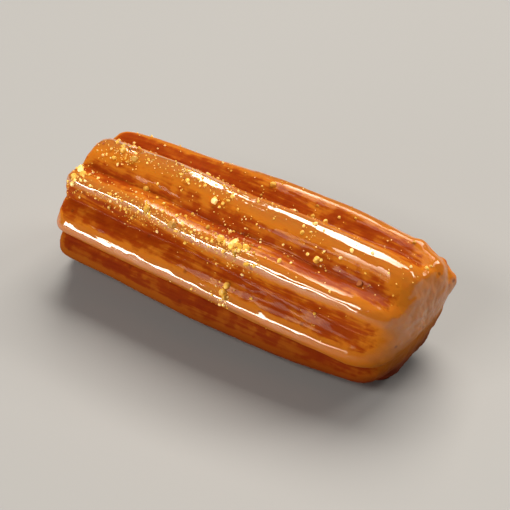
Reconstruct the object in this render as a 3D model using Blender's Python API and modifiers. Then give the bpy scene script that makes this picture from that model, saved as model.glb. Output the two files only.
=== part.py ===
"""A tulumba: a finger of fried choux dough, soaked in syrup, with pistachio crumbs stuck to it.

Run with: blender --background --python part.py. Metres, +Z up. The finger lies along X, on two of
the nine ridges that the star nozzle gave it, and the origin is on the floor under its middle.
Angles go round the finger: 0 is its near side (-Y), 90 its top and 180 its far side (+Y).
"""
import math
import random
from collections import namedtuple

import bmesh
import bpy
from mathutils import Matrix, Vector
from mathutils.bvhtree import BVHTree

# The finger.
LENGTH = 0.0515          # between the two cuts, before the ends swell
CREST_RADIUS = 0.0108    # from the middle line to a ridge's crest, where the finger is fattest
FATTEST = 0.66           # share of the length at which it is fattest
NARROW_END = 0.87        # crest radius at the narrow end (-X), as a share of the fattest
WIDE_END = 0.92          # the same at the wide end (+X)
TWIST = -15.0            # turn of the ridges from the narrow end to the wide one, in degrees
BOW = 0.0007             # how far the middle of the finger lies towards its near side
SEAT = 0.910             # height of the middle line over the floor, as a share of the crest radius
END_LIFT = 0.0003        # how far the narrow end's underside stays clear of the floor
CENTRING = (-0.0004, 0.0003)    # brings the middle of the finished finger's box over the origin

# A ridge's cross-section.
VALLEY = 0.77            # radius at the bottom of a valley, as a share of the crest's
VALLEY_CREASE = 0.5      # how sharp subdivision leaves the valleys

# Each ridge: where its crest lies, how broad and how high it is beside the others, its radius
# half-way down to a valley as a share of its crest's, and how far its two tips reach past the cuts.
Ridge = namedtuple("Ridge", "angle breadth height shoulder narrow_tip wide_tip")
RIDGES = (
    Ridge(1, 0.98, 1.00, 0.900, -0.0008, -0.0008),
    Ridge(42, 0.74, 1.02, 0.900, -0.0002, 0.0002),
    Ridge(86, 1.06, 1.00, 0.920, -0.0012, 0.0009),
    Ridge(128, 0.95, 1.02, 0.930, -0.0013, 0.0021),
    Ridge(168, 1.00, 1.04, 0.925, -0.0006, 0.0012),
    Ridge(208, 1.05, 0.98, 0.935, 0.0002, -0.0012),
    Ridge(248, 0.95, 1.01, 0.920, 0.0001, -0.0024),
    Ridge(288, 1.00, 1.00, 0.930, -0.0001, -0.0028),
    Ridge(326, 0.90, 1.01, 0.925, -0.0007, -0.0024),
)
TIP_REACH = 0.12         # share of the length over which a long or short tip fades out
WAVER = (0.014, 1.3)     # how unevenly a ridge runs: share of its radius, and degrees
WAVES = ((1.3, 1.0), (3.1, 0.5))   # each wave's turns over the length, and its weight

# Bits of dough drawn out where the wide end tore: place, way out from the middle line, and size.
Tip = namedtuple("Tip", "reach angle lean length width")
TORN_TIPS = (
    Tip(0.87, 121, 15, 0.0006, 0.0010),
    Tip(0.88, 140, 30, 0.0008, 0.0012),
    Tip(0.86, 104, 40, 0.0006, 0.0010),
    Tip(0.87, 158, 42, 0.0008, 0.0012),
)

# Rings of the cage from the narrow end to the wide one. reach is the place along the length, as a
# share of it; radius is a share of the flank's radius there, and relief of the valleys' depth,
# which fades towards the wide end.
Ring = namedtuple("Ring", "reach radius relief")
NARROW_FACE = (
    Ring(0.014, 0.28, 0.30),
    Ring(0.008, 0.55, 0.60),
    Ring(0.000, 0.80, 0.85),
    Ring(0.004, 0.95, 1.00),
)
FLANK = tuple(Ring(reach, 1.0, 1.0) for reach in (
    0.03, 0.10, 0.19, 0.28, 0.37, 0.46, 0.55, 0.64, 0.73))
WIDE_FACE = (
    Ring(0.820, 1.00, 0.96),
    Ring(0.900, 1.00, 0.80),
    Ring(0.948, 0.95, 0.65),
    Ring(0.978, 0.83, 0.50),
    Ring(0.992, 0.62, 0.35),
    Ring(0.997, 0.38, 0.20),
    Ring(0.998, 0.18, 0.10),
)
RINGS = NARROW_FACE + FLANK + WIDE_FACE
POLES = (0.016, 0.998)   # places along the length of the two end faces' centres

# Crumbs of pistachio.
CRUMBS = 50
CRUMB_RADII = (0.00028, 0.00052)   # of the smallest and the largest
SQUASH = (0.75, 1.25)              # the least and the most that a crumb is stretched each way
SUNK = 0.40                        # share of a crumb's height that lies under the surface
CRUMBED_REACH = (0.02, 0.98)       # crumbs lie between these places along the finger,
CRUMBED_ANGLES = (-25, 215)        # and between these angles round it
SEED = 7

# Where crumbs lie thickest: the middle of each drift, its share of all crumbs, and how far it
# spreads along the finger and round it.
Drift = namedtuple("Drift", "reach angle share length width")
DRIFTS = (
    Drift(0.50, 75, 0.30, 0.30, 42),
    Drift(0.32, 46, 0.28, 0.14, 5),
    Drift(0.54, 46, 0.12, 0.014, 3),
    Drift(0.12, 94, 0.10, 0.03, 8),
    Drift(0.53, 8, 0.05, 0.01, 5),
    Drift(0.04, 52, 0.05, 0.012, 5),
    Drift(0.30, 88, 0.05, 0.03, 4),
    Drift(0.78, 62, 0.05, 0.08, 4),
)


def barrel(reach):
    """Crest radius at a place along the length: less towards both ends than at the fattest."""
    if reach < FATTEST:
        loss, share = 1 - NARROW_END, (FATTEST - reach) / FATTEST
    else:
        loss, share = 1 - WIDE_END, (reach - FATTEST) / (1 - FATTEST)
    return CREST_RADIUS * (1 - loss * share ** 2)


def middle(reach):
    """The middle line's point at a place along the length: it bows, and it follows the floor."""
    along = min(max(reach, 0), 1)
    bow = BOW * (0.5 - math.sin(math.pi * along))
    lift = END_LIFT * (1 - along) ** 4
    x, y = (reach - 0.5) * LENGTH + CENTRING[0], bow + CENTRING[1]
    return Vector((x, y, SEAT * barrel(reach) + lift))


# A lengthwise line of the cage: where it lies, its share of the crest radius, how far its tips
# reach past the cuts, and the phases of its waves.
Line = namedtuple("Line", "angle share narrow_tip wide_tip phases")
LINES_PER_RIDGE = 4      # a crest, a shoulder, a valley and the next ridge's shoulder
VALLEY_LINE = 2


def columns():
    """The cage's lengthwise lines, round from the first ridge's crest."""
    rng = random.Random(SEED)
    phases = [[rng.random() for _ in range(2 * len(WAVES))] for _ in RIDGES]
    lines = []
    for i, ridge in enumerate(RIDGES):
        j = (i + 1) % len(RIDGES)
        after = RIDGES[j]
        gap = (after.angle - ridge.angle) % 360
        valley = ridge.breadth / (ridge.breadth + after.breadth)
        depth = VALLEY * (ridge.height + after.height) / 2
        for place, share, own in (
            (0, ridge.height, i),
            (valley / 2, ridge.shoulder * ridge.height, i),
            (valley, depth, i),
            ((1 + valley) / 2, after.shoulder * after.height, j),
        ):
            narrow_tip = ridge.narrow_tip + place * (after.narrow_tip - ridge.narrow_tip)
            wide_tip = ridge.wide_tip + place * (after.wide_tip - ridge.wide_tip)
            angle = ridge.angle + place * gap
            lines.append(Line(angle, share, narrow_tip, wide_tip, phases[own]))
    return lines


def wave(reach, phases):
    """How far a ridge strays at a place along the length, about -1 to 1."""
    return sum(weight * math.sin(math.tau * (turns * reach + phase))
               for (turns, weight), phase in zip(WAVES, phases))


def cage_point(ring, line):
    """Where a ring of the cage crosses one of its lengthwise lines."""
    half = len(WAVES)
    stray_out = WAVER[0] * wave(ring.reach, line.phases[:half])
    stray_round = WAVER[1] * wave(ring.reach, line.phases[half:])
    turn = math.radians(line.angle + TWIST * (ring.reach - 0.5) + stray_round)
    share = line.share + stray_out
    radius = barrel(ring.reach) * ring.radius * (1 - (1 - share) * ring.relief)
    slide = line.wide_tip * max(0, 1 - (1 - ring.reach) / TIP_REACH)
    slide -= line.narrow_tip * max(0, 1 - ring.reach / TIP_REACH)
    offset = Vector((slide * ring.radius, -radius * math.cos(turn), radius * math.sin(turn)))
    return middle(ring.reach) + offset


def cage():
    """A coarse closed cage: a grid wrapped round the middle line, with a pole at each end."""
    bm = bmesh.new()
    lines = columns()
    steps = len(RINGS) - 1
    bmesh.ops.create_grid(bm, x_segments=steps, y_segments=len(lines), size=0.5)
    column = bm.verts.layers.int.new("column")
    for v in bm.verts:
        v[column] = round((v.co.y + 0.5) * len(lines)) % len(lines)
        v.co = cage_point(RINGS[round((v.co.x + 0.5) * steps)], lines[v[column]])
    bmesh.ops.remove_doubles(bm, verts=bm.verts, dist=1e-7)
    crease = bm.edges.layers.float.new("crease_edge")
    for e in bm.edges:
        if all(v[column] % LINES_PER_RIDGE == VALLEY_LINE for v in e.verts):
            e[crease] = VALLEY_CREASE
    bm.verts.layers.int.remove(bm.verts.layers.int["column"])
    ends = bmesh.ops.holes_fill(bm, edges=[e for e in bm.edges if e.is_boundary])["faces"]
    ends.sort(key=lambda f: f.calc_center_median().x)
    for face, pole in zip(ends, POLES):
        centre = bmesh.ops.poke(bm, faces=[face])["verts"][0]
        centre.co = middle(pole)
    bmesh.ops.recalc_face_normals(bm, faces=bm.faces)
    return bm


def new_object(name, bm, collection):
    """An object made from a bmesh, in a collection."""
    mesh = bpy.data.meshes.new(name)
    bm.to_mesh(mesh)
    bm.free()
    obj = bpy.data.objects.new(name, mesh)
    collection.objects.link(obj)
    return obj


def apply_modifiers(obj):
    """Makes the modifiers' result the object's own mesh."""
    bpy.context.view_layer.update()
    evaluated = obj.evaluated_get(bpy.context.evaluated_depsgraph_get())
    obj.data = bpy.data.meshes.new_from_object(evaluated)
    obj.modifiers.clear()


def finger(collection):
    """The ridged finger: its cage smoothed once, and pressed flat where it meets the floor."""
    obj = new_object("tulumba", cage(), collection)
    smooth = obj.modifiers.new("smooth", "SUBSURF")
    smooth.levels = smooth.render_levels = 1
    apply_modifiers(obj)
    for v in obj.data.vertices:
        v.co.z = max(v.co.z, 0)
    return obj


def crumb_places(rng):
    """Where the crumbs fell: in drifts, and a few anywhere on the top and the sides."""
    places = []
    while len(places) < CRUMBS:
        drift, = rng.choices(DRIFTS, [drift.share for drift in DRIFTS])
        reach = rng.gauss(drift.reach, drift.length)
        angle = rng.gauss(drift.angle, drift.width)
        along = CRUMBED_REACH[0] < reach < CRUMBED_REACH[1]
        if along and CRUMBED_ANGLES[0] < angle < CRUMBED_ANGLES[1]:
            places.append((reach, angle))
    return places


def way_out(angle, lean=0):
    """The direction out from the middle line at an angle, leaning towards the wide end."""
    turn, lean = math.radians(angle), math.radians(lean)
    across = math.cos(lean)
    return Vector((math.sin(lean), -across * math.cos(turn), across * math.sin(turn)))


def surface_at(surface, reach, outward):
    """The point of the finger's surface that a line out from its middle meets, and the normal."""
    start = middle(reach) + outward * 2 * CREST_RADIUS
    spot, normal, _, _ = surface.ray_cast(start, -outward)
    return spot, normal


def torn_tip(tip, surface, collection):
    """A pointed bit of dough that stands out of the torn end."""
    outward = way_out(tip.angle, tip.lean)
    spot, _ = surface_at(surface, tip.reach, outward)
    put = Matrix.Translation(spot) @ outward.to_track_quat("Z", "Y").to_matrix().to_4x4()
    size = Matrix.Diagonal((tip.width, tip.width, tip.length, 1))
    bm = bmesh.new()
    bmesh.ops.create_icosphere(bm, subdivisions=1, radius=1, matrix=put @ size)
    new_object("torn_tip", bm, collection)


def crumb(place, surface, rng, collection):
    """A crumb: a rough little stone, squashed at random and sunk part-way into the dough."""
    spot, normal = surface_at(surface, place[0], way_out(place[1]))
    radius = rng.uniform(*CRUMB_RADII)
    squash = Matrix.Diagonal([rng.uniform(*SQUASH) for _ in range(3)]).to_4x4()
    spin = Matrix.Rotation(rng.uniform(0, math.tau), 4, "X") @ Matrix.Rotation(
        rng.uniform(0, math.tau), 4, "Z")
    put = Matrix.Translation(spot + normal * radius * (1 - 2 * SUNK))
    bm = bmesh.new()
    bmesh.ops.create_icosphere(bm, subdivisions=1, radius=radius, matrix=put @ spin @ squash)
    new_object("crumb", bm, collection)


def keep_outer_skin(obj):
    """Deletes loose scraps and the walls of hollows that crumbs sealed between them."""
    bm = bmesh.new()
    bm.from_mesh(obj.data)
    left, islands = set(bm.verts), []
    while left:
        island = front = {left.pop()}
        while front:
            front = {e.other_vert(v) for v in front for e in v.link_edges} - island
            island = island | front
        left -= island
        islands.append(island)
    islands.sort(key=len)
    for island in islands[:-1]:
        bmesh.ops.delete(bm, geom=list(island), context="VERTS")
    bm.to_mesh(obj.data)
    bm.free()


def finished(body, collection):
    """Fuses the torn tips and the crumbs to the finger in one solid."""
    rng = random.Random(SEED)
    surface = BVHTree.FromObject(body, bpy.context.evaluated_depsgraph_get())
    for tip in TORN_TIPS:
        torn_tip(tip, surface, collection)
    for place in crumb_places(rng):
        crumb(place, surface, rng, collection)
    join = body.modifiers.new("toppings", "BOOLEAN")
    join.operation = "UNION"
    join.operand_type = "COLLECTION"
    join.collection = collection
    join.solver = "EXACT"
    apply_modifiers(body)
    for obj in list(collection.objects):
        bpy.data.objects.remove(obj)
    keep_outer_skin(body)


def fried_dough():
    """Glossy amber crust."""
    material = bpy.data.materials.new("fried_dough")
    material.use_nodes = True
    shader = material.node_tree.nodes["Principled BSDF"]
    shader.inputs["Base Color"].default_value = (0.52, 0.13, 0.015, 1)
    shader.inputs["Roughness"].default_value = 0.25
    shader.inputs["Metallic"].default_value = 0
    return material


def main():
    for obj in list(bpy.data.objects):
        bpy.data.objects.remove(obj)
    parts = bpy.data.collections.new("tulumba")
    toppings = bpy.data.collections.new("toppings")
    for collection in (parts, toppings):
        bpy.context.scene.collection.children.link(collection)
    body = finger(parts)
    finished(body, toppings)
    body.data.materials.clear()
    body.data.materials.append(fried_dough())


main()
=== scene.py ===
"""A tulumba, dressed: the ridged finger of fried dough, wet with syrup, and its pistachio crumbs.

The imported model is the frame: every new piece rides on its one body and stands for its one node.
Metres, +Z up. The finger lies along X. Angles go round it: 0 is its near side (-Y), 90 its top and
180 its far side (+Y). A reach is a place along it: 0 at the narrow cut, 1 at the wide one.
"""
import math
import random
from collections import namedtuple

import bmesh
import bpy
import numpy as np
from mathutils import Matrix, Quaternion, Vector
from mathutils.bvhtree import BVHTree


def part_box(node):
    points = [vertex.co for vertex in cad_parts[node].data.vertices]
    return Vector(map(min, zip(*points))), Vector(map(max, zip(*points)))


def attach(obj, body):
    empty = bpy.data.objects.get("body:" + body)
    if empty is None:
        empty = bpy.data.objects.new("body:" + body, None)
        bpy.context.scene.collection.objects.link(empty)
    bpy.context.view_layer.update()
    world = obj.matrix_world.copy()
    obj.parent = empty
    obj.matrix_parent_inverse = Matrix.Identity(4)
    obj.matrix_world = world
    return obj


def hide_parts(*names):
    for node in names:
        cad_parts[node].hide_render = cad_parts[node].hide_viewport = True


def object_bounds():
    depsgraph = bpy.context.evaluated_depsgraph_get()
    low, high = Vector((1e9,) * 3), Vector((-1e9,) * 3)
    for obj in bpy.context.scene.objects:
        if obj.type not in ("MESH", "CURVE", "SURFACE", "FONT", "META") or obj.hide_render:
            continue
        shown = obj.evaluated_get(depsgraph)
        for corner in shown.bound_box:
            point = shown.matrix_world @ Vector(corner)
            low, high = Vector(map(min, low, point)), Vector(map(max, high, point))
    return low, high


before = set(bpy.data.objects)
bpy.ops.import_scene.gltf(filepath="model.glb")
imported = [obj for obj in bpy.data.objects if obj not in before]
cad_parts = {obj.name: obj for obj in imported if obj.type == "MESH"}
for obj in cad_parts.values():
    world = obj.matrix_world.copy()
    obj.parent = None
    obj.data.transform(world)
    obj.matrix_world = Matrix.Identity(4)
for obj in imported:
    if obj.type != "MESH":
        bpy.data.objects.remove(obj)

CAD_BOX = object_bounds()
NODE = "tulumba"
BODY = "root"
LOW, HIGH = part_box(NODE)
MM = 0.001

# The finger, from the frame's box.
LENGTH = 0.9817 * (HIGH.x - LOW.x)         # between the two cuts, before the ends swell
CREST_RADIUS = 0.5297 * (HIGH.z - LOW.z)   # from the middle line to a crest, where it is fattest
FATTEST = 0.66           # share of the length at which it is fattest
NARROW_END = 0.87        # crest radius at the narrow end (-X), as a share of the fattest
WIDE_END = 0.92          # the same at the wide end (+X)
TWIST = -15.0            # turn of the ridges from the narrow end to the wide one, in degrees
BOW = 0.7 * MM           # how far the middle of the finger lies towards its near side
SEAT = 0.910             # height of the middle line over the floor, as a share of the crest radius
END_LIFT = 0.3 * MM      # how far the narrow end's underside stays clear of the floor
CENTRING = (-0.4 * MM, 0.3 * MM)     # of the middle line, beside the middle of the whole box

# A ridge's cross-section.
VALLEY = 0.77            # radius at the bottom of a valley, as a share of the crest's
VALLEY_CREASE = 0.5      # how sharp subdivision leaves the valleys

# Each ridge: where its crest lies, how broad and how high it is beside the others, its radius
# half-way down to a valley as a share of its crest's, how much of the crest's colour it has there,
# and how far its two tips reach past the cuts, in millimetres.
Ridge = namedtuple("Ridge", "angle breadth height shoulder pale narrow_tip wide_tip")
# The shoulders' shares also set how light or dark each flank is, partly painted shade; the ridge at
# 128 has a low one, a painted shadow as though pieces behind it shaded it.
RIDGES = (
    Ridge(1, 0.98, 1.00, 0.900, 0.12, -0.8, -0.8),
    Ridge(42, 0.74, 1.02, 0.900, 0.15, -0.2, 0.2),
    Ridge(86, 1.06, 1.00, 0.920, 0.22, -1.2, 0.9),
    Ridge(128, 0.95, 1.02, 0.930, 0.10, -1.3, 2.1),
    Ridge(168, 1.00, 1.04, 0.925, 0.15, -0.6, 1.2),
    Ridge(208, 1.05, 0.98, 0.935, 0.35, 0.2, -1.2),
    Ridge(248, 0.95, 1.01, 0.920, 0.15, 0.1, -2.4),
    Ridge(288, 1.00, 1.00, 0.930, 0.10, -0.1, -2.8),
    Ridge(326, 0.90, 1.01, 0.925, 0.10, -0.7, -2.4),
)
TIP_REACH = 0.12         # share of the length over which a long or short tip fades out
WAVER = (0.014, 1.3)     # how unevenly a ridge runs: share of its radius, and degrees
WAVES = ((1.3, 1.0), (3.1, 0.5))   # each wave's turns over the length, and its weight
SEED = 7

# Rings of the cage from the narrow end to the wide one. reach is the place along the length, as a
# share of it; radius is a share of the flank's radius there, and relief of the valleys' depth.
Ring = namedtuple("Ring", "reach radius relief")
NARROW_FACE = (
    Ring(0.014, 0.28, 0.30),
    Ring(0.008, 0.55, 0.60),
    Ring(0.000, 0.80, 0.85),
    Ring(0.004, 0.95, 1.00),
)
WIDE_FACE = (
    Ring(0.948, 0.95, 0.65),
    Ring(0.978, 0.83, 0.50),
    Ring(0.992, 0.62, 0.35),
    Ring(0.997, 0.38, 0.20),
    Ring(0.998, 0.18, 0.10),
)
FLANK_RINGS = 32
FLANK_REACH = (0.03, 0.90)    # its first and its last ring
FADE_REACH = 0.80        # where the valleys begin to fade towards the wide end
FADE_LOSS = 0.20         # share of their depth that they have lost by the last ring
POLES = (0.016, 0.998)   # places along the length of the two end faces' centres
SMOOTHING = 3            # levels of subdivision of the dough's cage

# What tells the flank, its crests and the cuts apart.
FACE_RADIUS = 0.9        # rings under this share of the flank's radius lie on a cut's face
FACE_CREST = 0.85        # how much of a crest's colour the middles of the end faces have: painted light
DRY_REACH = (0.80, 0.94)      # the syrup's film fades between these places towards the torn end


def lerp(first, second, share):
    """The value that lies a share of the way from the first to the second."""
    return first + (second - first) * share


def fade(start, end, value):
    """How far a value has come from a start to an end, from 0 to 1."""
    return min(1, max(0, (value - start) / (end - start)))


def flank_ring(place):
    """A ring of the flank, by its share of the way along it: its valleys fade at the wide end."""
    reach = lerp(*FLANK_REACH, place)
    return Ring(reach, 1.0, 1 - FADE_LOSS * fade(FADE_REACH, FLANK_REACH[1], reach))


FLANK = tuple(flank_ring(i / (FLANK_RINGS - 1)) for i in range(FLANK_RINGS))
RINGS = NARROW_FACE + FLANK + WIDE_FACE


def barrel(reach):
    """Crest radius at a place along the length: less towards both ends than at the fattest."""
    if reach < FATTEST:
        loss, share = 1 - NARROW_END, (FATTEST - reach) / FATTEST
    else:
        loss, share = 1 - WIDE_END, (reach - FATTEST) / (1 - FATTEST)
    return CREST_RADIUS * (1 - loss * share ** 2)


def middle(reach):
    """The middle line's point at a place along the length: it bows, and it follows the floor."""
    along = min(max(reach, 0), 1)
    bow = BOW * (0.5 - math.sin(math.pi * along))
    lift = END_LIFT * (1 - along) ** 4
    x, y = (reach - 0.5) * LENGTH + CENTRING[0], bow + CENTRING[1]
    return Vector((x, y, SEAT * barrel(reach) + lift))


# A lengthwise line of the cage: where it lies, its share of the crest radius, how far its tips
# reach past the cuts, and how much of a crest it is.
Line = namedtuple("Line", "angle share narrow_tip wide_tip crest")
LINES_PER_RIDGE = 4      # a crest, a shoulder, a valley and the next ridge's shoulder
VALLEY_LINE = 2


def lengthwise_lines():
    """The cage's lengthwise lines, round from the first ridge's crest."""
    lines = []
    for i, ridge in enumerate(RIDGES):
        after = RIDGES[(i + 1) % len(RIDGES)]
        gap = (after.angle - ridge.angle) % 360
        valley = ridge.breadth / (ridge.breadth + after.breadth)
        depth = VALLEY * (ridge.height + after.height) / 2
        for place, share, crest in (
            (0, ridge.height, 1.0),
            (valley / 2, ridge.shoulder * ridge.height, ridge.pale),
            (valley, depth, 0.0),
            ((1 + valley) / 2, after.shoulder * after.height, after.pale),
        ):
            narrow_tip = ridge.narrow_tip + place * (after.narrow_tip - ridge.narrow_tip)
            wide_tip = ridge.wide_tip + place * (after.wide_tip - ridge.wide_tip)
            angle = ridge.angle + place * gap
            lines.append(Line(angle, share, narrow_tip * MM, wide_tip * MM, crest))
    return lines


def wave(reach, phases):
    """How far a ridge strays at a place along the length, about -1 to 1."""
    return sum(weight * math.sin(math.tau * (turns * reach + phase))
               for (turns, weight), phase in zip(WAVES, phases))


# ---- Modelling by hand ----

def take(obj):
    """Makes an object the only one selected, and the active one."""
    bpy.ops.object.select_all(action="DESELECT")
    obj.select_set(True)
    bpy.context.view_layer.objects.active = obj


def edit(obj):
    """Opens an object's mesh for editing, with nothing selected, and returns it."""
    take(obj)
    bpy.ops.object.mode_set(mode="EDIT")
    bpy.ops.mesh.select_all(action="DESELECT")
    return bmesh.from_edit_mesh(obj.data)


def close_edit():
    """Ends the editing of a mesh."""
    bpy.ops.object.mode_set(mode="OBJECT")


def stroke(points, operator, **values):
    """Works some points with one operator, with only those points selected."""
    for point in points:
        point.select_set(True)
    operator(**values)
    for point in points:
        point.select_set(False)


def scale_round(points, share):
    """Scales points to a share of their distance from the X axis."""
    stroke(points, bpy.ops.transform.resize, value=(1, share, share), center_override=(0, 0, 0))


def turn_round(points, degrees):
    """Turns points round the X axis, from the near side over the top."""
    stroke(points, bpy.ops.transform.rotate, value=math.radians(degrees), orient_axis="X",
           center_override=(0, 0, 0))


def move(points, offset):
    """Moves points by an offset."""
    stroke(points, bpy.ops.transform.translate, value=tuple(offset))


def apply(obj, modifier):
    """Makes a modifier's result the object's own mesh."""
    take(obj)
    bpy.ops.object.modifier_apply(modifier=modifier.name)


def guide(place=(0, 0, 0), size=(1, 1, 1)):
    """An empty that a modifier takes its place and its scale from, for as long as it is needed."""
    bpy.ops.object.empty_add(location=place)
    empty = bpy.context.object
    empty.scale = size
    bpy.context.view_layer.update()
    return empty


def remove(obj):
    """Removes an object that is no longer needed."""
    bpy.data.objects.remove(obj)


# ---- Dough ----

def drawn_tube(lines):
    """A circle extruded along X, ring by ring. Its points know their ring and their line."""
    start = (RINGS[0].reach - 0.5) * LENGTH + CENTRING[0]
    bpy.ops.mesh.primitive_circle_add(
        vertices=len(lines), radius=CREST_RADIUS, location=(start, 0, 0),
        rotation=(0, math.pi / 2, 0))
    bpy.ops.object.transform_apply(location=True, rotation=True, scale=True)
    tube = bpy.context.object
    bpy.ops.object.mode_set(mode="EDIT")
    bpy.ops.mesh.select_all(action="SELECT")
    bm = bmesh.from_edit_mesh(tube.data)
    ring_of = bm.verts.layers.int.new("ring")
    line_of = bm.verts.layers.int.new("line")
    for v in bm.verts:
        turn = math.atan2(v.co.z, -v.co.y) / math.tau
        v[line_of] = round(turn * len(lines)) % len(lines)
    for r in range(1, len(RINGS)):
        step = (RINGS[r].reach - RINGS[r - 1].reach) * LENGTH
        bpy.ops.mesh.extrude_region_move(TRANSFORM_OT_translate={"value": (step, 0, 0)})
        for v in bm.verts:
            if v.select:
                v[ring_of] = r
    close_edit()
    return tube


def press_ridges(net, lines):
    """Swells each ring, presses the valleys in and turns each line to its place."""
    for r, ring in enumerate(RINGS):
        swell = ring.radius * barrel(ring.reach) / CREST_RADIUS
        scale_round([net[r, k] for k in range(len(lines))], swell)
    for k, line in enumerate(lines):
        for relief in sorted({ring.relief for ring in RINGS}):
            alike = [net[r, k] for r, ring in enumerate(RINGS) if ring.relief == relief]
            scale_round(alike, 1 - (1 - line.share) * relief)
        turn_round([net[r, k] for r in range(len(RINGS))], line.angle - 360 * k / len(lines))


def waver_ridges(net, lines):
    """Lets each ridge stray a little out and round as it runs."""
    rng = random.Random(SEED)
    half = len(WAVES)
    for i in range(len(RIDGES)):
        phases = [rng.random() for _ in range(2 * half)]
        crest = i * LINES_PER_RIDGE
        own = [(crest + side) % len(lines) for side in (-1, 0, 1, VALLEY_LINE)]
        for r, ring in enumerate(RINGS):
            points = [net[r, k] for k in own]
            scale_round(points, 1 + WAVER[0] * wave(ring.reach, phases[:half]) * ring.relief)
            turn_round(points, WAVER[1] * wave(ring.reach, phases[half:]))


def pull_tips(net, lines):
    """Slides each line's ends out past the cuts or back from them."""
    for r, ring in enumerate(RINGS):
        wide = max(0, 1 - (1 - ring.reach) / TIP_REACH) * ring.radius
        narrow = max(0, 1 - ring.reach / TIP_REACH) * ring.radius
        if wide or narrow:
            for k, line in enumerate(lines):
                move([net[r, k]], (wide * line.wide_tip - narrow * line.narrow_tip, 0, 0))


def seat_rings(net, lines):
    """Brings each ring to the middle line, which bows and follows the floor."""
    for r, ring in enumerate(RINGS):
        place = middle(ring.reach)
        move([net[r, k] for k in range(len(lines))], (0, place.y, place.z))


def close_ends(bm, net, lines):
    """Closes both ends with a fan of faces round a pole."""
    for r, pole in ((0, POLES[0]), (len(RINGS) - 1, POLES[1])):
        bpy.ops.mesh.select_all(action="DESELECT")
        for k in range(len(lines)):
            net[r, k].select_set(True)
        before = set(bm.verts)
        bpy.ops.mesh.edge_face_add()
        bpy.ops.mesh.poke()
        centre, = set(bm.verts) - before
        bpy.ops.mesh.select_all(action="DESELECT")
        move([centre], middle(pole) - centre.co)
    bpy.ops.mesh.select_all(action="SELECT")
    bpy.ops.mesh.normals_make_consistent(inside=False)
    bpy.ops.mesh.select_all(action="DESELECT")


def crease_valleys(bm, line_of):
    """Keeps the valleys rather sharp when the cage is subdivided."""
    for e in bm.edges:
        if all(v[line_of] % LINES_PER_RIDGE == VALLEY_LINE for v in e.verts):
            e.select_set(True)
    bpy.ops.transform.edge_crease(value=VALLEY_CREASE)
    bpy.ops.mesh.select_all(action="DESELECT")


def weigh(obj, name, weight_of):
    """A vertex group whose weights come from each vertex of the cage."""
    group = obj.vertex_groups.new(name=name)
    for v in obj.data.vertices:
        group.add([v.index], weight_of(v), "REPLACE")


def dough_cage():
    """The coarse cage of the finger, still without its twist."""
    lines = lengthwise_lines()
    tube = drawn_tube(lines)
    tube.name = tube.data.name = "dough"
    bm = edit(tube)
    ring_of = bm.verts.layers.int["ring"]
    line_of = bm.verts.layers.int["line"]
    net = {(v[ring_of], v[line_of]): v for v in bm.verts}
    press_ridges(net, lines)
    waver_ridges(net, lines)
    pull_tips(net, lines)
    seat_rings(net, lines)
    crease_valleys(bm, line_of)
    close_ends(bm, net, lines)
    close_edit()
    return tube, lines


def note_places(tube, lines):
    """Keeps on every point how much of a crest it is, how wet it is, and where it lies."""
    mesh = tube.data
    rings = [mesh.attributes["ring"].data[v.index].value for v in mesh.vertices]
    line = [mesh.attributes["line"].data[v.index].value for v in mesh.vertices]
    on_face = [RINGS[r].radius < FACE_RADIUS for r in rings]
    for name in ("crest", "wet"):
        mesh.attributes.new(name, "FLOAT", "POINT")
    mesh.attributes.new("straight", "FLOAT_VECTOR", "POINT")
    crest, wet, straight = (mesh.attributes[name].data for name in ("crest", "wet", "straight"))
    for v in mesh.vertices:
        ring = RINGS[rings[v.index]]
        # The end faces take the pale FACE_CREST share, painted light on the cuts.
        crest[v.index].value = lerp(FACE_CREST, lines[line[v.index]].crest, ring.radius ** 4)
        if not on_face[v.index]:
            wet[v.index].value = 1 - fade(*DRY_REACH, ring.reach)
        straight[v.index].vector = v.co
    weigh(tube, "crests", lambda v: lines[line[v.index]].crest)
    weigh(tube, "cuts", lambda v: float(on_face[v.index]))
    for name in ("ring", "line"):
        mesh.attributes.remove(mesh.attributes[name])


def smooth(obj, levels):
    """Subdivides a cage into a smooth surface."""
    modifier = obj.modifiers.new("smooth", "SUBSURF")
    modifier.levels = modifier.render_levels = levels
    apply(obj, modifier)


# A relief: the kind of texture that pushes the surface in and out, its size along X, Y and Z and
# its height in millimetres, how many finer turns it has, and where it is kept to.
Relief = namedtuple("Relief", "kind size height turns where")
RELIEFS = (
    Relief("CLOUDS", (20, 5, 5), 0.36, 1, ""),               # swells and hollows
    Relief("CLOUDS", (14, 0.6, 0.6), 0.16, 1, ""),           # long lines that the nozzle drew
    Relief("CLOUDS", (4, 0.45, 0.45), 0.07, 1, ""),          # short lines between them
    Relief("CLOUDS", (1.6, 0.8, 0.8), 0.06, 3, "crests"),    # blisters of the frying
    Relief("VORONOI", (1.3, 0.9, 0.9), -0.03, 0, ""),        # dimples
    Relief("CLOUDS", (1.8, 1.8, 1.8), 0.40, 1, "cuts"),      # torn crumb
)


def roughen(obj, relief):
    """Pushes a surface in and out by a relief's texture."""
    texture = bpy.data.textures.new(relief.kind.lower(), relief.kind)
    texture.noise_scale = 1.0
    if relief.kind == "CLOUDS":
        texture.noise_depth = relief.turns
    empty = guide(size=[length * MM for length in relief.size])
    modifier = obj.modifiers.new("roughen", "DISPLACE")
    modifier.texture = texture
    modifier.texture_coords = "OBJECT"
    modifier.texture_coords_object = empty
    modifier.strength = relief.height * MM
    modifier.mid_level = 0.5
    modifier.vertex_group = relief.where
    apply(obj, modifier)
    remove(empty)


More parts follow.
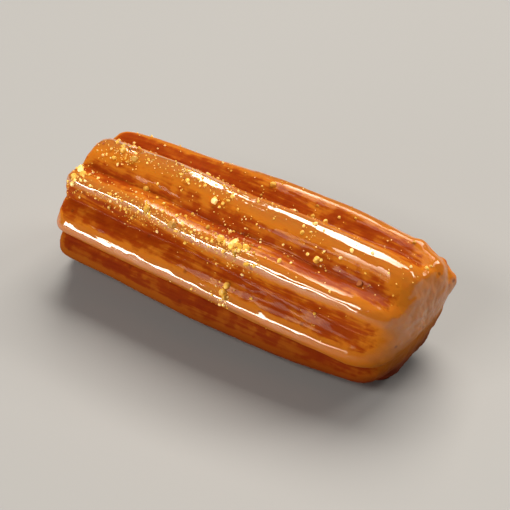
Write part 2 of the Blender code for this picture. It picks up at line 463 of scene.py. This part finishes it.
def twist(dough):
    """Turns the ridges round the finger from one end to the other."""
    along = [v.co.x for v in dough.data.vertices]
    centre = middle(0.5)
    empty = guide(place=centre)
    modifier = dough.modifiers.new("twist", "SIMPLE_DEFORM")
    modifier.deform_method = "TWIST"
    modifier.deform_axis = "X"
    modifier.origin = empty
    modifier.angle = -math.radians(TWIST) * (max(along) - min(along)) / LENGTH
    apply(dough, modifier)
    remove(empty)


def press_flat(dough):
    """Presses what lies under the floor up to it."""
    bm = edit(dough)
    stroke([v for v in bm.verts if v.co.z < 0], bpy.ops.transform.resize, value=(1, 1, 0),
           center_override=(0, 0, 0))
    close_edit()


def way_out(angle, lean=0):
    """The direction out from the middle line at an angle, leaning towards the wide end."""
    turn, lean = math.radians(angle), math.radians(lean)
    across = math.cos(lean)
    return Vector((math.sin(lean), -across * math.cos(turn), across * math.sin(turn)))


def surface_at(surface, reach, outward):
    """The point of a surface that a line out from the middle line meets, and its normal."""
    start = middle(reach) + outward * 2 * CREST_RADIUS
    spot, normal, _, _ = surface.ray_cast(start, -outward)
    return spot, normal


def surface_of(obj):
    """An object's surface, to cast lines at."""
    bpy.context.view_layer.update()
    return BVHTree.FromObject(obj, bpy.context.evaluated_depsgraph_get())


# Bits of dough drawn out or pressed in: where, which way from the middle line, how far out in
# millimetres (less than 0 is a pit), and how wide.
Pull = namedtuple("Pull", "reach angle lean height width falloff")
PULLS = (
    Pull(0.870, 121, 15, 0.5, 1.8, "SMOOTH"),
    Pull(0.880, 140, 30, 0.7, 2.0, "SMOOTH"),
    Pull(0.860, 104, 40, 0.5, 1.6, "SMOOTH"),
    Pull(0.870, 158, 42, 0.7, 2.0, "SMOOTH"),
    Pull(0.136, 94, 0, -0.7, 0.8, "SPHERE"),
    Pull(0.152, 92, 0, -0.4, 0.6, "SPHERE"),
)


def pull_bits(dough):
    """Draws the torn tips out of the wide end's rim, and presses the pits in."""
    surface = surface_of(dough)
    bm = edit(dough)
    for pull in PULLS:
        outward = way_out(pull.angle, pull.lean)
        spot, _ = surface_at(surface, pull.reach, outward)
        nearest = min(bm.verts, key=lambda v: (v.co - spot).length_squared)
        stroke([nearest], bpy.ops.transform.translate, value=tuple(outward * pull.height * MM),
               use_proportional_edit=True, proportional_edit_falloff=pull.falloff,
               proportional_size=pull.width * MM)
    close_edit()


def make_dough():
    """The whole finger of dough."""
    dough, lines = dough_cage()
    note_places(dough, lines)
    smooth(dough, SMOOTHING)
    for relief in RELIEFS:
        roughen(dough, relief)
    twist(dough)
    pull_bits(dough)
    press_flat(dough)
    take(dough)
    bpy.ops.object.shade_smooth()
    dough.data.materials.append(fried_dough())
    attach(dough, BODY)
    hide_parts(NODE)
    return dough


# ---- Pistachio ----

CRUMBS = 50
CRUMB_RADII = (0.28 * MM, 0.52 * MM)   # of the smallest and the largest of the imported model's
SQUASH = (0.75, 1.25)    # the least and the most that a crumb is stretched each way
SUNK = 0.40              # share of a crumb's height that lies under the surface
CRUMBED_REACH = (0.02, 0.98)     # crumbs lie between these places along the finger,
CRUMBED_ANGLES = (-25, 215)      # and between these angles round it

# Finer crumbs, and the finest. Half of them lie round the larger ones: the spread is how far from
# them, along the finger and round it.
GRITS = 240
GRIT_RADII = (0.12 * MM, 0.26 * MM)
GRIT_SPREAD = (0.03, 9)
DUST = 1100
DUST_RADII = (0.05 * MM, 0.11 * MM)
DUST_SPREAD = (0.02, 7)

# Where crumbs lie thickest: the middle of each drift, its share of all crumbs, and how far it
# spreads along the finger and round it.
Drift = namedtuple("Drift", "reach angle share length width")
DRIFTS = (
    Drift(0.50, 75, 0.30, 0.30, 42),
    Drift(0.32, 46, 0.28, 0.14, 5),
    Drift(0.54, 46, 0.12, 0.014, 3),
    Drift(0.12, 94, 0.10, 0.03, 8),
    Drift(0.53, 8, 0.05, 0.01, 5),
    Drift(0.04, 52, 0.05, 0.012, 5),
    Drift(0.30, 88, 0.05, 0.03, 4),
    Drift(0.78, 62, 0.05, 0.08, 4),
)

# The finer crumbs lie there too, and along the two top crests.
FINE_DRIFTS = DRIFTS + (
    Drift(0.30, 42, 0.60, 0.14, 4),
    Drift(0.28, 86, 0.40, 0.15, 4),
)

# A kind of stone: how finely its ball is divided, how far its points stray, its flat cuts.
Stone = namedtuple("Stone", "divisions stray cuts")
CHUNKS = tuple(Stone(2, 0.16, cuts) for cuts in (1, 2, 3, 2, 3))
CHIPS = tuple(Stone(1, 0.25, cuts) for cuts in (1, 1, 2, 0))
SPECKS = tuple(Stone(1, 0.30, 0) for _ in range(3))
CUT_DEPTHS = (0.45, 0.8)     # from a stone's middle to a flat cut, as a share of its radius


def stone_arrays(stone, seed):
    """A rough stone of radius 1, modelled once: its points and its triangles."""
    rng = random.Random(seed)
    bpy.ops.mesh.primitive_ico_sphere_add(subdivisions=stone.divisions, radius=1)
    ball = bpy.context.object
    edit(ball)
    bpy.ops.mesh.select_all(action="SELECT")
    bpy.ops.transform.vertex_random(offset=stone.stray, seed=seed)
    for _ in range(stone.cuts):
        out = Vector([rng.gauss(0, 1) for _ in range(3)]).normalized()
        bpy.ops.mesh.select_all(action="SELECT")
        bpy.ops.mesh.bisect(plane_co=out * rng.uniform(*CUT_DEPTHS), plane_no=out,
                            use_fill=True, clear_outer=True)
    bpy.ops.mesh.select_all(action="SELECT")
    bpy.ops.mesh.quads_convert_to_tris()
    bpy.ops.mesh.normals_make_consistent(inside=False)
    close_edit()
    points = np.array([v.co for v in ball.data.vertices])
    faces = np.array([p.vertices for p in ball.data.polygons])
    remove(ball)
    return points, faces


def crumb_places(rng, count, drifts=DRIFTS):
    """Where crumbs fell: in drifts, and a few anywhere on the top and the sides."""
    places = []
    while len(places) < count:
        drift, = rng.choices(drifts, [drift.share for drift in drifts])
        reach = rng.gauss(drift.reach, drift.length)
        angle = rng.gauss(drift.angle, drift.width)
        along = CRUMBED_REACH[0] < reach < CRUMBED_REACH[1]
        if along and CRUMBED_ANGLES[0] < angle < CRUMBED_ANGLES[1]:
            places.append((reach, angle))
    return places


def places_beside(places, rng, count, spread):
    """Places scattered round others, and as many again that lie anywhere crumbs fall."""
    first, last = CRUMBED_REACH
    beside = []
    for reach, angle in rng.choices(places, k=count // 2):
        near = min(max(rng.gauss(reach, spread[0]), first), last)
        beside.append((near, rng.gauss(angle, spread[1])))
    return beside + crumb_places(rng, count - count // 2, FINE_DRIFTS)


def laid_stone(surface, place, radii, rng):
    """The matrix that lays a stone of radius 1 at a place, squashed, turned and sunk in."""
    spot, normal = surface_at(surface, place[0], way_out(place[1]))
    radius = rng.uniform(*radii)
    squash = Matrix.Diagonal([rng.uniform(*SQUASH) for _ in range(3)]).to_4x4()
    spin = Matrix.Rotation(rng.uniform(0, math.tau), 4, "X") @ Matrix.Rotation(
        rng.uniform(0, math.tau), 4, "Z")
    put_at = Matrix.Translation(spot + normal * radius * (1 - 2 * SUNK))
    return put_at @ spin @ squash @ Matrix.Scale(radius, 4)


def strew(name, stones, matrices, rng):
    """One mesh of many stones, each point with its stone's own tint from 0 to 1."""
    masters = [stone_arrays(stone, seed) for seed, stone in enumerate(stones)]
    points, faces, tints, base = [], [], [], 0
    for matrix in matrices:
        corners, triangles = rng.choice(masters)
        m = np.array(matrix)
        points.append(corners @ m[:3, :3].T + m[:3, 3])
        faces.append(triangles + base)
        tints += [rng.random()] * len(corners)
        base += len(corners)
    mesh = bpy.data.meshes.new(name)
    mesh.from_pydata(np.concatenate(points).tolist(), [], np.concatenate(faces).tolist())
    mesh.attributes.new("tint", "FLOAT", "POINT").data.foreach_set("value", tints)
    crumbs = bpy.data.objects.new(name, mesh)
    bpy.context.scene.collection.objects.link(crumbs)
    mesh.materials.append(bpy.data.materials["pistachio"])
    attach(crumbs, BODY)
    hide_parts(NODE)
    return crumbs


def make_crumbs(dough):
    """Three sizes of pistachio crumbs, stuck to the syrup."""
    pistachio()
    surface = surface_of(dough)
    rng = random.Random(SEED)
    coarse = crumb_places(rng, CRUMBS)
    laid = [laid_stone(surface, place, CRUMB_RADII, rng) for place in coarse]
    strew("crumbs", CHUNKS, laid, rng)
    fine = places_beside(coarse, rng, GRITS, GRIT_SPREAD)
    laid = [laid_stone(surface, place, GRIT_RADII, rng) for place in fine]
    strew("grits", CHIPS, laid, rng)
    finest = places_beside(coarse + fine, rng, DUST, DUST_SPREAD)
    laid = [laid_stone(surface, place, DUST_RADII, rng) for place in finest]
    strew("dust", SPECKS, laid, rng)


# ---- Materials ----

def put(tree, kind, inputs=(), **properties):
    """A new node in a tree, with its properties and its inputs, which are values or sockets."""
    made = tree.nodes.new(kind)
    for name, value in properties.items():
        setattr(made, name, value)
    for name, value in dict(inputs).items():
        if isinstance(value, bpy.types.NodeSocket):
            tree.links.new(value, made.inputs[name])
        else:
            made.inputs[name].default_value = value
    return made


def new_material(name):
    """A material with only its Principled shader and its output; returns it with both."""
    material = bpy.data.materials.new(name)
    material.use_nodes = True
    shader = material.node_tree.nodes["Principled BSDF"]
    return material, material.node_tree, shader


def group(name, inputs, outputs):
    """A new node group with named inputs and their usual values, and named outputs."""
    tree = bpy.data.node_groups.new(name, "ShaderNodeTree")
    for title, kind, value in inputs:
        socket = tree.interface.new_socket(title, in_out="INPUT", socket_type=kind)
        if value is not None:
            socket.default_value = value
    for title, kind in outputs:
        tree.interface.new_socket(title, in_out="OUTPUT", socket_type=kind)
    return tree, put(tree, "NodeGroupInput").outputs, put(tree, "NodeGroupOutput").inputs


def place_group(tree, name, **inputs):
    """A group placed in a material with its own values; returns the group's outputs."""
    return put(tree, "ShaderNodeGroup", inputs, node_tree=bpy.data.node_groups[name]).outputs


def add_up(tree, total, *terms):
    """The sum of a value and some sockets, each times its own weight."""
    for socket, weight in terms:
        total = put(tree, "ShaderNodeMath", {0: socket, 1: weight, 2: total},
                    operation="MULTIPLY_ADD").outputs[0]
    return total


def product(tree, total, *factors):
    """The product of a socket and some more sockets or values."""
    for factor in factors:
        total = put(tree, "ShaderNodeMath", {0: total, 1: factor},
                    operation="MULTIPLY").outputs[0]
    return total


def patches_group():
    """Soft-edged patches: where a noise of a given size rises from Low to High."""
    tree, given, result = group("patches", (
        ("Vector", "NodeSocketVector", None),
        ("Size", "NodeSocketFloat", 2 * MM),
        ("Low", "NodeSocketFloat", 0.4),
        ("High", "NodeSocketFloat", 0.6),
    ), (("Mask", "NodeSocketFloat"),))
    scale = put(tree, "ShaderNodeMath", {0: 1.0, 1: given["Size"]}, operation="DIVIDE")
    noise = put(tree, "ShaderNodeTexNoise", {
        "Vector": given["Vector"], "Scale": scale.outputs[0], "Detail": 3.0})
    mask = put(tree, "ShaderNodeMapRange", {
        "Value": noise.outputs["Fac"], "From Min": given["Low"], "From Max": given["High"]},
        interpolation_type="SMOOTHSTEP")
    tree.links.new(mask.outputs["Result"], result["Mask"])


def streaks_group():
    """Fine lines along X: a noise drawn out to a Length, with a Width across."""
    tree, given, result = group("streaks", (
        ("Vector", "NodeSocketVector", None),
        ("Length", "NodeSocketFloat", 6 * MM),
        ("Width", "NodeSocketFloat", 0.5 * MM),
    ), (("Height", "NodeSocketFloat"),))
    size = put(tree, "ShaderNodeCombineXYZ", {
        "X": given["Length"], "Y": given["Width"], "Z": given["Width"]})
    squeezed = put(tree, "ShaderNodeVectorMath", {0: given["Vector"], 1: size.outputs[0]},
                   operation="DIVIDE")
    noise = put(tree, "ShaderNodeTexNoise", {
        "Vector": squeezed.outputs[0], "Scale": 1.0, "Detail": 2.0})
    tree.links.new(noise.outputs["Fac"], result["Height"])


PORE_SCALE = 0.3         # how fine the cells that may hold a pore are, beside the grain
PORELESS = 0.93          # share of the cells that hold none
PORE_EDGE, PORE_CORE = 0.3, 0.12     # how far from a cell's middle a pore's slope begins and ends


def grain_group():
    """The fine unevenness of a rough surface, with small pores sunk in it."""
    tree, given, result = group("grain", (
        ("Vector", "NodeSocketVector", None),
        ("Size", "NodeSocketFloat", 0.3 * MM),
        ("Pores", "NodeSocketFloat", 0.5),
    ), (("Height", "NodeSocketFloat"), ("Pore", "NodeSocketFloat")))
    scale = put(tree, "ShaderNodeMath", {0: 1.0, 1: given["Size"]}, operation="DIVIDE")
    noise = put(tree, "ShaderNodeTexNoise", {
        "Vector": given["Vector"], "Scale": scale.outputs[0], "Detail": 3.0})
    cells = put(tree, "ShaderNodeTexVoronoi", {
        "Vector": given["Vector"], "Scale": product(tree, scale.outputs[0], PORE_SCALE)})
    chosen = put(tree, "ShaderNodeSeparateColor", {"Color": cells.outputs["Color"]})
    rare = put(tree, "ShaderNodeMath", {0: chosen.outputs["Red"], 1: PORELESS},
               operation="GREATER_THAN").outputs[0]
    hole = put(tree, "ShaderNodeMapRange", {
        "Value": cells.outputs["Distance"], "From Min": PORE_EDGE, "From Max": PORE_CORE})
    pore = product(tree, hole.outputs["Result"], rare, given["Pores"])
    height = put(tree, "ShaderNodeMath", {0: noise.outputs["Fac"], 1: pore},
                 operation="SUBTRACT")
    tree.links.new(height.outputs[0], result["Height"])
    tree.links.new(pore, result["Pore"])


def mix(tree, share, first, second):
    """A blend of two colours, each given as a value or a socket."""
    made = put(tree, "ShaderNodeMix", data_type="RGBA")
    for socket, value in ((made.inputs[0], share), (made.inputs[6], first),
                          (made.inputs[7], second)):
        if isinstance(value, bpy.types.NodeSocket):
            tree.links.new(value, socket)
        else:
            socket.default_value = value if isinstance(value, float) else (*value, 1)
    return made.outputs[2]


def ramp(tree, value, stops):
    """A colour ramp from a value, through stops of a place and a colour."""
    made = put(tree, "ShaderNodeValToRGB", {"Fac": value})
    elements = made.color_ramp.elements
    while len(elements) < len(stops):
        elements.new(0.5)
    for element, (place, colour) in zip(elements, stops):
        element.position = place
        element.color = (*colour, 1)
    return made.outputs["Color"]


# The crust's colours, from the bottom of a valley to the palest part of a crest: its own amber,
# with painted shade that darkens the valleys and a little painted highlight on the paler crests.
CRUST_AND_PAINTED_SHADE = (
    (0.00, (0.20, 0.0117, 0.00026)),
    (0.14, (0.245, 0.019, 0.0004)),
    (0.36, (0.36, 0.057, 0.0015)),
    (0.50, (0.58, 0.18, 0.011)),
)
# Pores are painted darker: painted shade in their pits.
PORE_SHADE = (0.16, 0.025, 0.003)
# The underside's colour is painted shade: the crust darkens towards the floor.
UNDERSIDE_SHADE = (0.11, 0.0055, 0.0002)
DARKEST = 0.95           # how much of that painted shade the lowest part has
UNDERSIDE_SHADE_HEIGHTS = (10.5 * MM, 3 * MM)   # over the floor, where painted shade begins to darken the crust, and where it is deepest

# The syrup's film: its weight on the flank and on the torn faces, where all over 1 counts as 1, and
# the valleys' share of that. It begins at the first of these heights over the floor and the first
# of these shares of a crest, and is whole from the second ones on.
FLANK_FILM = 1.35
FACE_FILM = 0.52
VALLEY_FILM = 0.04
FILM_HEIGHTS = (8 * MM, 11 * MM)
FILM_CRESTS = (0.30, 0.75)


def climb(tree, value, start, end, low=0.0, high=1.0):
    """A value that goes from low to high as another one goes from start to end."""
    return put(tree, "ShaderNodeMapRange", {
        "Value": value, "From Min": start, "From Max": end,
        "To Min": low, "To Max": high}).outputs["Result"]


def syrup_film(tree, height, crest, wet, small, broad):
    """How much syrup stands on the crust: most on the upper crests, in patches."""
    upper = climb(tree, height, *FILM_HEIGHTS)
    on_crests = climb(tree, crest, *FILM_CRESTS, low=VALLEY_FILM)
    in_patches = add_up(tree, 1.0, (small, 0.35), (broad, 0.25))
    thick = add_up(tree, FACE_FILM, (wet, FLANK_FILM - FACE_FILM))
    return product(tree, upper, on_crests, in_patches, thick)


def fried_dough():
    """Amber crust in syrup: painted shade in valleys and below, honey crests partly painted
    highlight.
    """
    material, tree, shader = new_material("fried_dough")
    along = put(tree, "ShaderNodeAttribute", attribute_name="straight").outputs["Vector"]
    crest = put(tree, "ShaderNodeAttribute", attribute_name="crest").outputs["Fac"]
    wet = put(tree, "ShaderNodeAttribute", attribute_name="wet").outputs["Fac"]
    place = put(tree, "ShaderNodeTexCoord").outputs["Object"]
    height = put(tree, "ShaderNodeSeparateXYZ", {"Vector": place}).outputs["Z"]
    broad = place_group(tree, "patches", Vector=along, Size=7 * MM, Low=0.35, High=0.65)["Mask"]
    small = place_group(tree, "patches", Vector=along, Size=1.6 * MM, Low=0.35, High=0.65)["Mask"]
    lines = place_group(tree, "streaks", Vector=along, Length=9 * MM, Width=0.45 * MM)["Height"]
    grain = place_group(tree, "grain", Vector=along, Size=0.35 * MM, Pores=0.6)
    # The crest share darkens the valleys and pales the crests: painted shade and painted highlight
    # on the crust's own tone. The streaks and patches are the crust's own.
    pale = add_up(tree, 0.0, (crest, 0.62), (broad, 0.11), (small, 0.12), (lines, 0.40))
    # Pores take a darker colour, painted shade in their pits.
    colour = mix(tree, grain["Pore"], ramp(tree, pale, CRUST_AND_PAINTED_SHADE), PORE_SHADE)
    # Painted shade underneath: the crust darkens towards the floor.
    low = climb(tree, height, *UNDERSIDE_SHADE_HEIGHTS, high=DARKEST)
    tree.links.new(mix(tree, low, colour, UNDERSIDE_SHADE), shader.inputs["Base Color"])
    fine = add_up(tree, 0.0, (lines, 0.6), (grain["Height"], 0.4))
    bump = put(tree, "ShaderNodeBump", {
        "Height": fine, "Distance": 0.12 * MM, "Strength": 0.5})
    tree.links.new(bump.outputs["Normal"], shader.inputs["Normal"])
    dull = add_up(tree, 0.60, (crest, 0.05), (small, 0.08))
    tree.links.new(dull, shader.inputs["Roughness"])
    shader.inputs["Specular IOR Level"].default_value = 0.06
    shader.inputs["Specular Tint"].default_value = (1.0, 0.85, 0.65, 1)
    shader.inputs["Subsurface Weight"].default_value = 0.35
    shader.inputs["Subsurface Radius"].default_value = (1.0, 0.32, 0.08)
    shader.inputs["Subsurface Scale"].default_value = 1.6 * MM
    film = syrup_film(tree, height, crest, wet, small, broad)
    tree.links.new(film, shader.inputs["Coat Weight"])
    shader.inputs["Coat Roughness"].default_value = 0.07
    shader.inputs["Coat IOR"].default_value = 2.1
    return material


def pistachio():
    """Ground pistachio: mustard to golden green, with some brown skin, wet with syrup."""
    material, tree, shader = new_material("pistachio")
    place = put(tree, "ShaderNodeTexCoord").outputs["Object"]
    tint = put(tree, "ShaderNodeAttribute", attribute_name="tint").outputs["Fac"]
    small = place_group(tree, "patches", Vector=place, Size=0.3 * MM, Low=0.3, High=0.7)["Mask"]
    grain = place_group(tree, "grain", Vector=place, Size=0.12 * MM, Pores=0.3)["Height"]
    own = ramp(tree, tint, (
        (0.00, (0.30, 0.08, 0.012)),
        (0.08, (0.48, 0.27, 0.03)),
        (0.35, (0.70, 0.42, 0.06)),
        (0.70, (0.85, 0.56, 0.13)),
        (1.00, (0.95, 0.74, 0.34)),
    ))
    uneven = put(tree, "ShaderNodeHueSaturation", {
        "Color": own, "Value": add_up(tree, 1.1, (small, 0.35), (grain, 0.4))})
    tree.links.new(uneven.outputs["Color"], shader.inputs["Base Color"])
    bump = put(tree, "ShaderNodeBump", {
        "Height": grain, "Distance": 0.04 * MM, "Strength": 0.8})
    tree.links.new(bump.outputs["Normal"], shader.inputs["Normal"])
    shader.inputs["Roughness"].default_value = 0.45
    shader.inputs["Coat Weight"].default_value = 0.6
    shader.inputs["Coat Roughness"].default_value = 0.1
    shader.inputs["Subsurface Weight"].default_value = 0.15
    shader.inputs["Subsurface Radius"].default_value = (1.0, 0.7, 0.2)
    shader.inputs["Subsurface Scale"].default_value = 0.4 * MM
    return material


# ---- Floor, light and camera ----

def aim(obj, place, towards, roll):
    """Puts an object at a place with its -Z axis towards a point, rolled by some degrees."""
    obj.location = place
    obj.rotation_mode = "QUATERNION"
    turned = Quaternion((0, 0, 1), math.radians(roll))
    obj.rotation_quaternion = (towards - place).to_track_quat("-Z", "Y") @ turned


# A long soft light in line with the pastry, which draws one ridge's highlight: from where it
# shines, its length and width in metres, and its power in watts.
Strip = namedtuple("Strip", "name direction size power")
STRIPS = (
    Strip("key", (-0.10, 0.50, 0.80), (0.72, 0.60), 10.2),       # the top ridge
    Strip("front", (-0.16, -0.66, 0.64), (0.6, 0.20), 3.2),      # the ridge before it
    Strip("fill", (-0.39, -0.90, 0.12), (0.8, 0.13), 4.3),       # the near side's ridge
    Strip("side", (0.52, 0.62, 0.58), (0.3, 0.2), 2),            # the far side, at the wide end
)
STRIP_DISTANCE = 0.9
STRIP_COLOUR = (1.0, 0.88, 0.72)


def strip_light(strip):
    """One of the long lights, turned to the pastry."""
    back = Vector(strip.direction).normalized()
    along = (Vector((1, 0, 0)) - back * back.x).normalized()
    turn = Matrix((along, back.cross(along), back)).transposed().to_4x4()
    bpy.ops.object.light_add(type="AREA")
    light = bpy.context.object
    light.name = strip.name
    light.data.shape = "RECTANGLE"
    light.data.size, light.data.size_y = strip.size
    light.data.energy = strip.power
    light.data.color = STRIP_COLOUR
    centre = (CAD_BOX[0] + CAD_BOX[1]) / 2
    light.matrix_world = Matrix.Translation(centre + back * STRIP_DISTANCE) @ turn


def make_floor():
    """A wide, plain, pale floor."""
    bpy.ops.mesh.primitive_plane_add(size=6)
    floor = bpy.context.object
    floor.name = "floor"
    material, _, shader = new_material("pale_floor")
    shader.inputs["Base Color"].default_value = (0.38, 0.41, 0.46, 1)
    shader.inputs["Roughness"].default_value = 0.6
    floor.data.materials.append(material)


def make_light():
    """The long lights, and a dim warm room."""
    for strip in STRIPS:
        strip_light(strip)
    world = bpy.data.worlds.new("room")
    bpy.context.scene.world = world
    world.use_nodes = True
    background = world.node_tree.nodes["Background"]
    background.inputs["Color"].default_value = (1.0, 0.96, 0.91, 1)
    background.inputs["Strength"].default_value = 0.06


AZIMUTH, ELEVATION, ROLL = 30.5, 39.6, 1.9    # the camera's direction, in degrees
DISTANCE = 0.953
LENS = 520.0             # millimetres, on a sensor 36 mm wide
SENSOR = 36.0


def make_camera():
    """A long lens from the wide end's near side, looking down."""
    azimuth, elevation = math.radians(AZIMUTH), math.radians(ELEVATION)
    level = math.cos(elevation)
    back = Vector((math.sin(azimuth) * level, -math.cos(azimuth) * level, math.sin(elevation)))
    centre = (CAD_BOX[0] + CAD_BOX[1]) / 2
    bpy.ops.object.camera_add()
    camera = bpy.context.object
    camera.name = "camera"
    aim(camera, centre + back * DISTANCE, centre, ROLL)
    camera.data.lens = LENS
    camera.data.sensor_width = SENSOR
    camera.data.clip_start = DISTANCE / 10
    camera.data.clip_end = DISTANCE * 10
    bpy.context.scene.camera = camera


patches_group()
streaks_group()
grain_group()
make_camera()
make_light()
make_floor()
make_crumbs(make_dough())
bpy.context.scene.view_settings.view_transform = "Standard"
